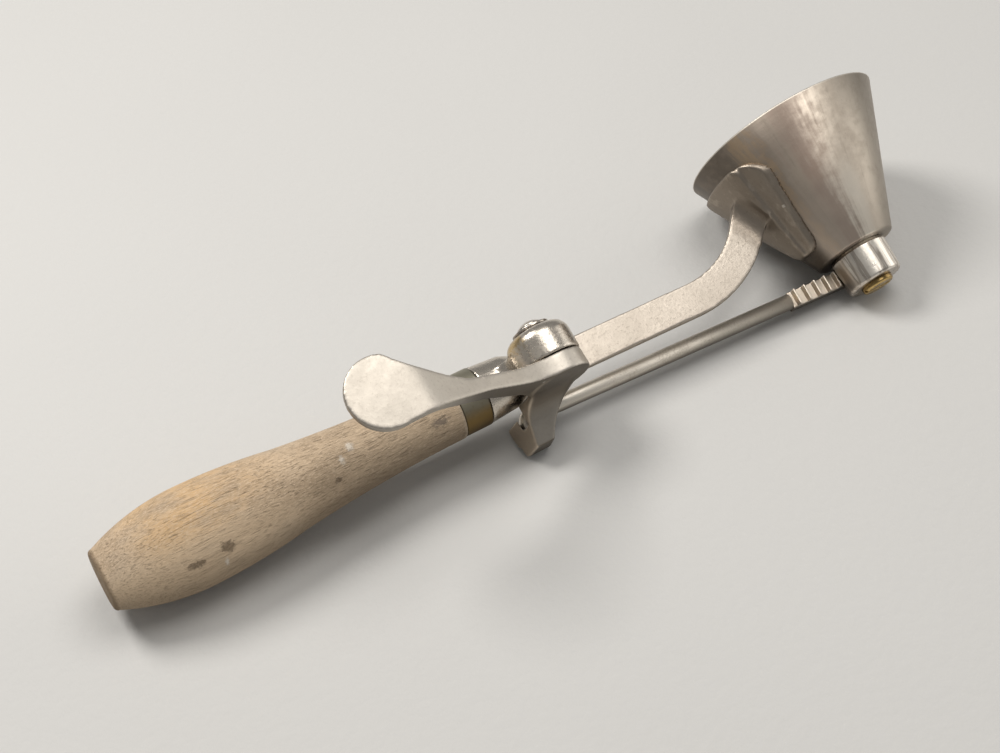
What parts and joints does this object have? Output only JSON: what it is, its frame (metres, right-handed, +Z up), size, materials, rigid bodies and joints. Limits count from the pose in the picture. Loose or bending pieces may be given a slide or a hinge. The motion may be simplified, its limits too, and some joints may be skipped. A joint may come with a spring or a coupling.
{
  "type": "ice cream disher",
  "caption": "Conical ice cream disher: turned wooden handle, cast shank, sprung thumb lever, push rod with rack and pinion, and scraper blades turning inside the bowl.",
  "frame": {"origin": "bottom centre of the box round the tool as it lies on a table", "axes": "+X along the handle towards the bowl, +Y towards the bowl's mouth side, +Z up"},
  "size_m": [0.267, 0.0676, 0.061],
  "materials": {
    "handle_wood": "bare weathered",
    "ferrule_brass": "dull",
    "plain_steel": "oiled",
    "cast_nickel": "worn plating",
    "bowl_nickel": "satin, tarnished",
    "bush_brass": "machined",
    "housing_nickel": "satin",
    "plug_brass": "worn",
    "spring_steel": "drawn",
    "lever_nickel": "polished, worn",
    "cap_nickel": "satin",
    "screw_steel": "turned",
    "rod_steel": "satin",
    "rack_steel": "cut",
    "blade_nickel": "satin"
  },
  "bodies": {
    "frame": {"wooden_handle": "handle_wood", "ferrule": "ferrule_brass", "handle_tang": "plain_steel", "shank_casting": "cast_nickel", "cone_bowl": "bowl_nickel", "spindle_bush": "bush_brass", "gear_housing": "housing_nickel", "plug_screw": "plug_brass", "return_spring": "spring_steel"},
    "lever": {"thumb_lever": "lever_nickel", "pivot_pin": "plain_steel", "cap_washer": "cap_nickel", "pivot_screw": "screw_steel"},
    "rod": {"push_rod": "rod_steel", "rack_bar": "rack_steel"},
    "scraper": {"pinion": "plain_steel", "spindle": "plain_steel", "scraper_hub": "blade_nickel", "scraper_blade_1": "blade_nickel", "scraper_blade_2": "blade_nickel", "scraper_nut": "screw_steel"}
  },
  "joints": [
    {"name": "lever_pivot", "type": "hinge", "parent": "frame", "child": "lever", "pos_m": [-0.0024, -0.01578, 0.02555], "axis": [0.0034, -0.9151, -0.4033], "range_deg": [0, 27], "stiffness_Nm_per_rad": 0.2, "springref_deg": -45.84},
    {"name": "rod_slide", "type": "slide", "parent": "frame", "child": "rod", "axis": [0.9989, -0.0447, -0.0112], "range_m": [0, 0.0089]},
    {"name": "scraper_turn", "type": "hinge", "parent": "frame", "child": "scraper", "pos_m": [0.10268, -0.00712, 0.01649], "axis": [0.0034, -0.9151, -0.4033], "range_deg": [0, 180.1]}
  ],
  "couplings": [
    {"joint": "rod_slide", "follows": "lever_pivot", "m_per_rad": 0.018833},
    {"joint": "scraper_turn", "follows": "lever_pivot", "ratio": 6.6667}
  ]
}
